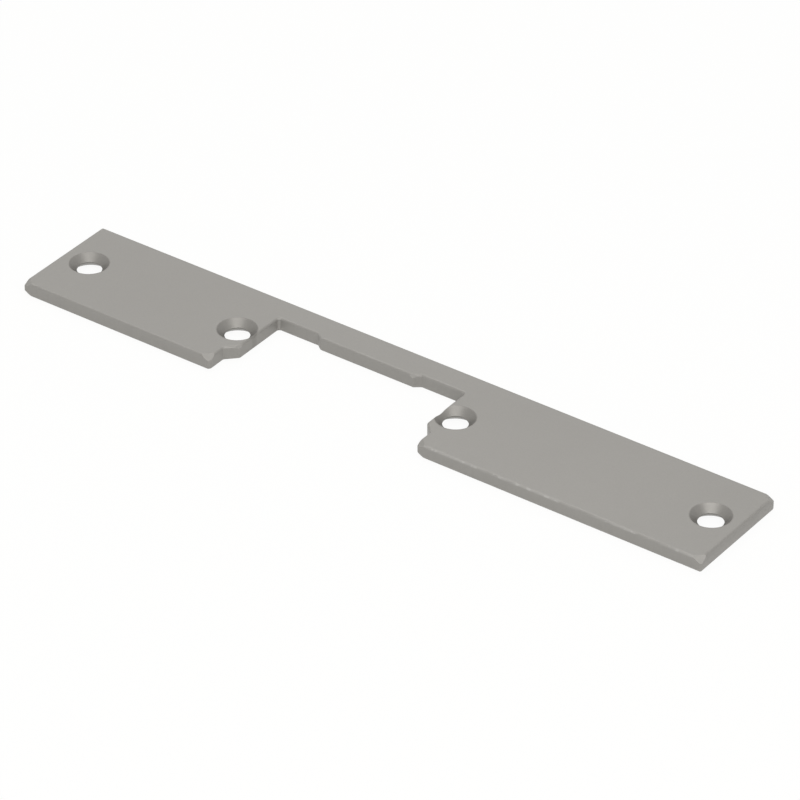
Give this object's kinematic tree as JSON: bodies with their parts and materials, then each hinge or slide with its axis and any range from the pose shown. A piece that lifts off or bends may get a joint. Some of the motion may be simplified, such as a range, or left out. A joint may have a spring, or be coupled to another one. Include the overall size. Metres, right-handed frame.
{
  "type": "door strike faceplate",
  "caption": "Flat steel faceplate for a door strike, with a wide offset notch, a narrow bridge behind it and countersunk screw holes.",
  "frame": {"origin": "middle of the underside, which rests on the door frame", "axes": "+X along the length, towards the longer block; +Y from the notch's open front edge to the straight back edge; +Z out of the shown face"},
  "size_m": [0.16, 0.025, 0.003],
  "materials": {
    "lacquered_steel": "even satin lacquer in warm grey over sheet steel"
  },
  "bodies": {
    "root": {"faceplate": "lacquered_steel"}
  },
  "joints": []
}
